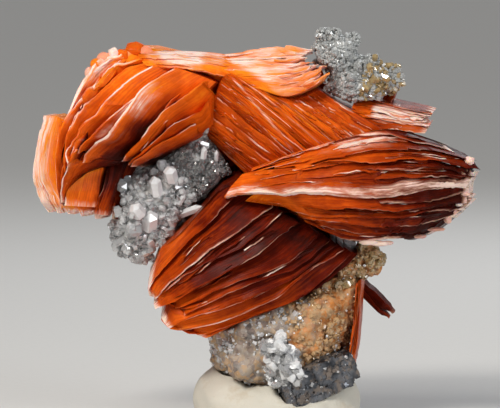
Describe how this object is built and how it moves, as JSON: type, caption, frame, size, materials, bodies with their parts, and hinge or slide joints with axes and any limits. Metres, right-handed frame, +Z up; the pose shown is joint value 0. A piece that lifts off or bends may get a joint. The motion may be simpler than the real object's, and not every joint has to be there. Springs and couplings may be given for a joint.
{
  "type": "mineral specimen",
  "caption": "Fans of orange barite blades with clear cerussite crystals on a limonite and galena matrix, held upright in a lump of mineral putty.",
  "frame": {"origin": "centre of the putty's flat underside, on the surface that the specimen stands on", "axes": "+Z up, +X to the right as the specimen is shown, +Y away from the viewer"},
  "size_m": [0.0607, 0.0263, 0.0532],
  "materials": {
    "barite": "glassy blades, bright orange with pale rims, deepening to maroon",
    "barite_deep": "glassy, dark red-brown",
    "cerussite": "clear, adamantine",
    "cerussite_grey": "clear to grey, adamantine",
    "limonite": "earthy, with sparkling crystals",
    "galena": "dull metallic grey",
    "putty": "matt off-white"
  },
  "bodies": {
    "root": {"barite_blades": "barite", "small_free_blade": "barite_deep", "side_barite_sheet": "barite_deep", "cerussite_pocket": "cerussite", "cerussite_cluster": "cerussite", "cerussite_knob": "cerussite_grey", "limonite_matrix": "limonite", "galena": "galena", "putty_base": "putty"}
  },
  "joints": []
}
